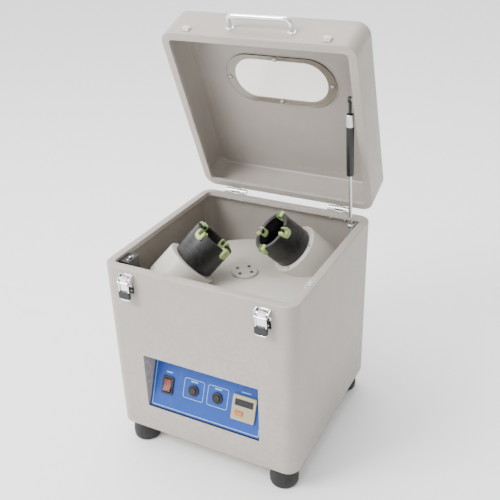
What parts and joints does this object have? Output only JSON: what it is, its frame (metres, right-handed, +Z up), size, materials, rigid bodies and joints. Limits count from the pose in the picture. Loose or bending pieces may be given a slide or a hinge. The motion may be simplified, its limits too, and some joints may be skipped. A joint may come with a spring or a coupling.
{
  "type": "two-cup planetary mixer",
  "caption": "Bench-top planetary paste mixer: square steel cabinet, lid with a window open on a gas strut, tilted cups on a rotor.",
  "frame": {"origin": "on the floor under the middle of the bounding box of the standing machine with its lid open", "axes": "+X to the machine's right seen from the front, +Y to the back, +Z up"},
  "size_m": [0.4, 0.4936, 0.8449],
  "materials": {
    "paint": "satin grey-beige powder coat",
    "inner_paint": "off-white powder coat",
    "panel_blue": "printed film",
    "black_plastic": "fine texture",
    "rubber": "matte",
    "chrome": "bright plated",
    "steel": "zinc plated",
    "dark_steel": "oiled dark steel",
    "green": "pale green",
    "cream": "cream",
    "orange": "orange key",
    "red": "dark red",
    "clear": "clear acrylic"
  },
  "bodies": {
    "cabinet": {"case_shell": "paint", "base_plate": "paint", "chamber_deck": "inner_paint", "rear_cover": "paint", "mains_inlet": "black_plastic", "foot_front_left": "rubber", "foot_front_right": "rubber", "foot_rear_left": "rubber", "foot_rear_right": "rubber", "control_recess": "paint", "control_panel": "panel_blue", "rocker_bezel": "black_plastic", "button_bezel_1": "black_plastic", "button_bezel_2": "black_plastic", "timer_case": "cream", "timer_display": "black_plastic", "motor_body": "dark_steel", "motor_stand": "paint", "drive_belt": "rubber", "motor_driver": "dark_steel", "spindle_housing": "steel", "sun_gear": "dark_steel", "bearing_cartridge": "dark_steel", "latch_base_left": "chrome", "latch_base_right": "chrome", "strut_bracket_case": "steel", "lid_switch": "black_plastic", "case_hinge_left": "steel", "case_hinge_right": "steel"},
    "lid": {"lid_shell": "paint", "window_pane": "clear", "lid_handle": "chrome", "strut_bracket_lid": "steel", "keeper_left": "chrome", "keeper_right": "chrome", "lid_hinge_left": "steel", "lid_hinge_right": "steel"},
    "rotor": {"rotor_body": "inner_paint", "main_shaft": "steel", "main_pulley": "steel"},
    "idler_1": {"idler_gear_1": "dark_steel"},
    "idler_2": {"idler_gear_2": "dark_steel"},
    "cup_1": {"cup_holder_1": "black_plastic", "cup_grip_1": "green", "planet_gear_1": "dark_steel"},
    "cup_2": {"cup_holder_2": "black_plastic", "cup_grip_2": "green", "planet_gear_2": "dark_steel"},
    "motor_rotor": {"motor_pulley": "steel"},
    "strut_piston": {"strut_rod": "steel"},
    "strut_tube": {"strut_cylinder": "black_plastic"},
    "lever_left": {"latch_lever_left": "chrome"},
    "lever_right": {"latch_lever_right": "chrome"},
    "bail_left": {"latch_bail_left": "chrome"},
    "bail_right": {"latch_bail_right": "chrome"},
    "rocker": {"rocker_key": "red"},
    "button_1": {"push_button_1": "black_plastic"},
    "button_2": {"push_button_2": "black_plastic"},
    "key": {"timer_key": "orange"},
    "plunger": {"switch_plunger": "steel"}
  },
  "joints": [
    {"name": "lid_hinge", "type": "hinge", "parent": "cabinet", "child": "lid", "pos_m": [0, 0.17765, 0.4276], "axis": [1, 0, 0], "range_deg": [0, 68.1], "stiffness_Nm_per_rad": 8, "springref_deg": -40.11},
    {"name": "strut_foot", "type": "hinge", "parent": "cabinet", "child": "strut_piston", "pos_m": [0.17, 0.12035, 0.4213], "axis": [1, 0, 0], "range_deg": [0, 77.5]},
    {"name": "strut_stroke", "type": "slide", "parent": "strut_piston", "child": "strut_tube", "axis": [0, -0.1146, 0.9934], "range_m": [-0.05041, 0]},
    {"name": "rotor_spin", "type": "hinge", "parent": "cabinet", "child": "rotor", "pos_m": [0, -0.03035, 0.3], "axis": [0, 0, 1], "continuous": true},
    {"name": "idler_spin_1", "type": "hinge", "parent": "rotor", "child": "idler_1", "pos_m": [0.05071, 0.0119, 0.3], "axis": [0, 0, 1], "continuous": true},
    {"name": "cup_spin_1", "type": "hinge", "parent": "rotor", "child": "cup_1", "pos_m": [0.07959, 0.03597, 0.3896], "axis": [-0.5433, -0.4526, 0.7071], "continuous": true},
    {"name": "idler_spin_2", "type": "hinge", "parent": "rotor", "child": "idler_2", "pos_m": [-0.05071, -0.07259, 0.3], "axis": [0, 0, 1], "continuous": true},
    {"name": "cup_spin_2", "type": "hinge", "parent": "rotor", "child": "cup_2", "pos_m": [-0.07959, -0.09666, 0.3896], "axis": [0.5433, 0.4526, 0.7071], "continuous": true},
    {"name": "motor_spin", "type": "hinge", "parent": "cabinet", "child": "motor_rotor", "pos_m": [0, 0.07765, 0.2], "axis": [0, 0, 1], "continuous": true},
    {"name": "latch_lever_hinge_left", "type": "hinge", "parent": "cabinet", "child": "lever_left", "pos_m": [-0.142, -0.23765, 0.409], "axis": [-1, 0, 0], "range_deg": [0, 90]},
    {"name": "latch_bail_hinge_left", "type": "hinge", "parent": "lever_left", "child": "bail_left", "pos_m": [-0.142, -0.24305, 0.403], "axis": [-1, 0, 0], "range_deg": [0, 90]},
    {"name": "latch_lever_hinge_right", "type": "hinge", "parent": "cabinet", "child": "lever_right", "pos_m": [0.142, -0.23765, 0.409], "axis": [-1, 0, 0], "range_deg": [0, 90]},
    {"name": "latch_bail_hinge_right", "type": "hinge", "parent": "lever_right", "child": "bail_right", "pos_m": [0.142, -0.24305, 0.403], "axis": [-1, 0, 0], "range_deg": [0, 90]},
    {"name": "rocker_tilt", "type": "hinge", "parent": "cabinet", "child": "rocker", "pos_m": [-0.089, -0.2077, 0.15978], "axis": [1, 0, 0], "range_deg": [0, 20]},
    {"name": "button_press_1", "type": "slide", "parent": "cabinet", "child": "button_1", "axis": [0, 0.931, -0.365], "range_m": [0, 0.003], "stiffness_N_per_m": 400},
    {"name": "button_press_2", "type": "slide", "parent": "cabinet", "child": "button_2", "axis": [0, 0.931, -0.365], "range_m": [0, 0.003], "stiffness_N_per_m": 400},
    {"name": "timer_key_press", "type": "slide", "parent": "cabinet", "child": "key", "axis": [0, 0.931, -0.365], "range_m": [0, 0.001], "stiffness_N_per_m": 400},
    {"name": "switch_press", "type": "slide", "parent": "cabinet", "child": "plunger", "axis": [0, 0, -1], "range_m": [0, 0.003], "stiffness_N_per_m": 400}
  ],
  "couplings": [
    {"joint": "strut_foot", "follows": "lid_hinge", "ratio": 1.1374},
    {"joint": "strut_stroke", "follows": "lid_hinge", "m_per_rad": -0.04233},
    {"joint": "idler_spin_1", "follows": "rotor_spin", "ratio": 0.83333},
    {"joint": "idler_spin_2", "follows": "rotor_spin", "ratio": 0.83333},
    {"joint": "cup_spin_1", "follows": "rotor_spin", "ratio": -0.83333},
    {"joint": "cup_spin_2", "follows": "rotor_spin", "ratio": -0.83333},
    {"joint": "motor_spin", "follows": "rotor_spin", "ratio": 2.75}
  ]
}
